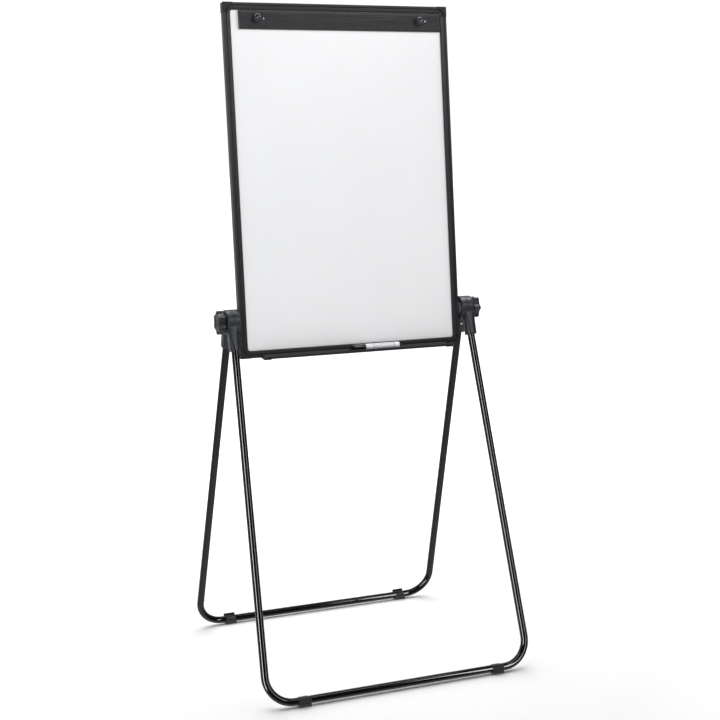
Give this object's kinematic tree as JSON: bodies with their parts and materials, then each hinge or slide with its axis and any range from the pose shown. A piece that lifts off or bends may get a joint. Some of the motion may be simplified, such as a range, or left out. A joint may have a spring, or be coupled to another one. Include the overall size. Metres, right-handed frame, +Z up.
{
  "type": "folding whiteboard easel",
  "caption": "Folding board easel: framed double-sided writing board with paper clamp bar and marker tray, hung between two U-shaped tube legs by side hubs with lobed clutch knobs.",
  "frame": {"origin": "on the floor, midway between the two legs and straight below the hub axis", "axes": "+X to the right of a person facing the writing board, +Y away from that person, +Z up"},
  "size_m": [0.832, 0.7584, 1.9469],
  "materials": {
    "gloss_black_tube": "gloss black powder coat",
    "satin_black_rail": "satin black anodised extrusion",
    "textured_black": "fine moulded texture",
    "hub_grey": "semi-matt moulded plastic",
    "clamp_black": "satin black, finely ribbed",
    "shiny_black": "gloss moulded plastic",
    "white_board": "smooth gloss dry-wipe film",
    "core_board": "pressed fibre board",
    "zinc_steel": "bright zinc plate",
    "dark_steel": "dark oxide",
    "fibre_red": "pressed friction fibre",
    "soft_rubber": "soft matt rubber",
    "marker_white": "smooth moulded plastic",
    "felt": "soaked felt"
  },
  "bodies": {
    "front_leg": {"front_leg_tube": "gloss_black_tube", "front_left_hub": "hub_grey", "front_left_rivet": "zinc_steel", "front_left_foot": "textured_black", "front_right_hub": "hub_grey", "front_right_rivet": "zinc_steel", "front_right_foot": "textured_black", "left_friction_ring": "fibre_red", "left_stop_pin": "zinc_steel", "right_friction_ring": "fibre_red", "right_stop_pin": "zinc_steel"},
    "rear_leg": {"rear_leg_tube": "gloss_black_tube", "rear_left_hub": "hub_grey", "rear_left_rivet": "zinc_steel", "rear_left_foot": "textured_black", "rear_right_hub": "hub_grey", "rear_right_rivet": "zinc_steel", "rear_right_foot": "textured_black"},
    "board": {"board_core": "core_board", "front_writing_sheet": "white_board", "rear_writing_sheet": "white_board", "left_rail": "satin_black_rail", "right_rail": "satin_black_rail", "top_rail": "satin_black_rail", "bottom_rail": "satin_black_rail", "top_left_corner": "textured_black", "top_right_corner": "textured_black", "bottom_left_corner": "textured_black", "bottom_right_corner": "textured_black", "marker_tray": "satin_black_rail", "tray_left_cap": "textured_black", "tray_right_cap": "textured_black", "left_pivot_anchor": "zinc_steel", "left_pivot_bolt": "zinc_steel", "left_pivot_washer": "zinc_steel", "left_clamp_stud": "zinc_steel", "right_pivot_anchor": "zinc_steel", "right_pivot_bolt": "zinc_steel", "right_pivot_washer": "zinc_steel", "right_clamp_stud": "zinc_steel"},
    "left_clutch_washer": {"left_knob_washer": "dark_steel"},
    "left_clutch": {"left_clutch_knob": "hub_grey", "left_clutch_nut": "zinc_steel"},
    "right_clutch_washer": {"right_knob_washer": "dark_steel"},
    "right_clutch": {"right_clutch_knob": "hub_grey", "right_clutch_nut": "zinc_steel"},
    "clamp": {"clamp_bar": "clamp_black", "left_pad_pin": "zinc_steel", "right_pad_pin": "zinc_steel", "lower_grip_strip": "soft_rubber", "upper_grip_strip": "soft_rubber"},
    "left_clamp_screw": {"left_clamp_knob": "shiny_black"},
    "right_clamp_screw": {"right_clamp_knob": "shiny_black"},
    "marker": {"marker_barrel": "marker_white", "marker_nib": "felt"},
    "marker_lid": {"marker_cap": "shiny_black"}
  },
  "joints": [
    {"name": "rear_leg_fold", "type": "hinge", "parent": "front_leg", "child": "rear_leg", "pos_m": [0, 0, 1.0385], "axis": [1, 0, 0], "range_deg": [-37.4, 0]},
    {"name": "board_turn", "type": "hinge", "parent": "front_leg", "child": "board", "pos_m": [0, 0, 1.0385], "axis": [1, 0, 0], "continuous": true},
    {"name": "left_clutch_slide", "type": "slide", "parent": "board", "child": "left_clutch_washer", "axis": [-1, 0, 0], "range_m": [0, 0.003]},
    {"name": "left_clutch_knob_turn", "type": "hinge", "parent": "left_clutch_washer", "child": "left_clutch", "pos_m": [-0.4, 0, 1.0385], "axis": [-1, 0, 0], "range_deg": [0, 720]},
    {"name": "right_clutch_slide", "type": "slide", "parent": "board", "child": "right_clutch_washer", "axis": [1, 0, 0], "range_m": [0, 0.003]},
    {"name": "right_clutch_knob_turn", "type": "hinge", "parent": "right_clutch_washer", "child": "right_clutch", "pos_m": [0.4, 0, 1.0385], "axis": [1, 0, 0], "range_deg": [0, 720]},
    {"name": "clamp_bar_slide", "type": "slide", "parent": "board", "child": "clamp", "axis": [0, -0.996, 0.0889], "range_m": [0, 0.004]},
    {"name": "left_clamp_knob_turn", "type": "hinge", "parent": "clamp", "child": "left_clamp_screw", "pos_m": [-0.2535, 0.05195, 1.9018], "axis": [0, -0.996, 0.0889], "range_deg": [0, 1440]},
    {"name": "right_clamp_knob_turn", "type": "hinge", "parent": "clamp", "child": "right_clamp_screw", "pos_m": [0.2535, 0.05195, 1.9018], "axis": [0, -0.996, 0.0889], "range_deg": [0, 1440]},
    {"name": "marker_lift", "type": "slide", "parent": "board", "child": "marker", "axis": [0, 0.0889, 0.996], "range_m": [0, 0.06]},
    {"name": "marker_cap_pull", "type": "slide", "parent": "marker", "child": "marker_lid", "axis": [-1, 0, 0], "range_m": [0, 0.045]}
  ],
  "couplings": [
    {"joint": "left_clutch_slide", "follows": "left_clutch_knob_turn", "m_per_rad": 0.0002387},
    {"joint": "right_clutch_slide", "follows": "right_clutch_knob_turn", "m_per_rad": 0.0002387},
    {"joint": "left_clamp_knob_turn", "follows": "clamp_bar_slide", "rad_per_m": 6283.2},
    {"joint": "right_clamp_knob_turn", "follows": "clamp_bar_slide", "rad_per_m": 6283.2}
  ]
}
